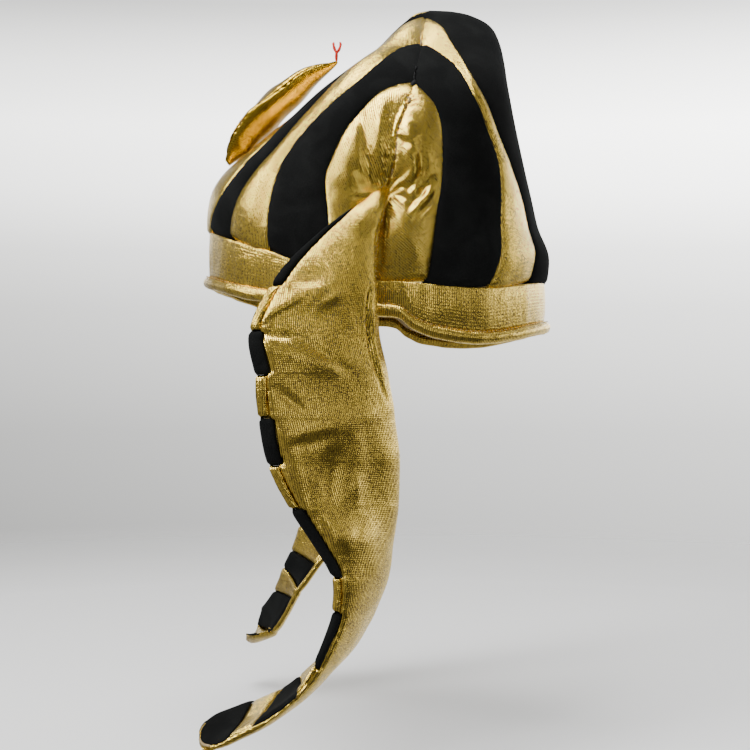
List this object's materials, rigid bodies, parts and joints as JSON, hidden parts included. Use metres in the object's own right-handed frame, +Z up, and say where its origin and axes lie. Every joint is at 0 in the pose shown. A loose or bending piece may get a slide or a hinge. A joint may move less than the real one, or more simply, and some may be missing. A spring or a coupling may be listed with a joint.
{
  "type": "pharaoh headdress",
  "caption": "Soft striped pharaoh headdress in gold lame and black velvet, with a ribbed headband, two hanging lappets and a stuffed cobra with a red tongue",
  "frame": {"origin": "head_seat: the middle of the headband, level with its lower edge at the temples, where the head sits in the hollow", "axes": "-Y is the front, where the cobra is, +X the wearer's left, +Z up to the crown"},
  "size_m": [0.3124, 0.2142, 0.4265],
  "materials": {
    "gold_lame": "metallic foil on ribbed knit, crinkled, semi-gloss",
    "black_velvet": "matt short-pile velvet",
    "red_felt": "matt felt"
  },
  "bodies": {
    "root": {"cobra_body": "gold_lame", "cobra_tongue": "red_felt", "crown_back_centre_black": "black_velvet", "crown_back_inner_black_left": "black_velvet", "crown_back_inner_black_right": "black_velvet", "crown_back_outer_gold_left": "gold_lame", "crown_back_outer_gold_right": "gold_lame", "crown_back_side_panel_left": "gold_lame", "crown_back_side_panel_right": "gold_lame", "crown_front_centre_gold": "gold_lame", "crown_front_inner_black_left": "black_velvet", "crown_front_inner_black_right": "black_velvet", "crown_front_outer_black_left": "black_velvet", "crown_front_outer_black_right": "black_velvet", "crown_front_outer_gold_left": "gold_lame", "crown_front_outer_gold_right": "gold_lame", "crown_front_side_panel_left": "gold_lame", "crown_front_side_panel_right": "gold_lame", "headband": "gold_lame", "headband_rolled_hem": "gold_lame", "lappet_left_gold_back": "gold_lame", "lappet_left_stripe_01_black": "black_velvet", "lappet_left_stripe_02_gold": "gold_lame", "lappet_left_stripe_03_black": "black_velvet", "lappet_left_stripe_04_gold": "gold_lame", "lappet_left_stripe_05_black": "black_velvet", "lappet_left_stripe_06_gold": "gold_lame", "lappet_left_stripe_07_black": "black_velvet", "lappet_left_stripe_08_gold": "gold_lame", "lappet_left_stripe_09_black": "black_velvet", "lappet_left_stripe_10_gold": "gold_lame", "lappet_left_stripe_11_black": "black_velvet", "lappet_left_stripe_12_gold": "gold_lame", "lappet_left_stripe_13_black": "black_velvet", "lappet_right_gold_back": "gold_lame", "lappet_right_stripe_01_black": "black_velvet", "lappet_right_stripe_02_gold": "gold_lame", "lappet_right_stripe_03_black": "black_velvet", "lappet_right_stripe_04_gold": "gold_lame", "lappet_right_stripe_05_black": "black_velvet", "lappet_right_stripe_06_gold": "gold_lame", "lappet_right_stripe_07_black": "black_velvet", "lappet_right_stripe_08_gold": "gold_lame", "lappet_right_stripe_09_black": "black_velvet", "lappet_right_stripe_10_gold": "gold_lame", "lappet_right_stripe_11_black": "black_velvet", "lappet_right_stripe_12_gold": "gold_lame", "lappet_right_stripe_13_black": "black_velvet"}
  },
  "joints": []
}
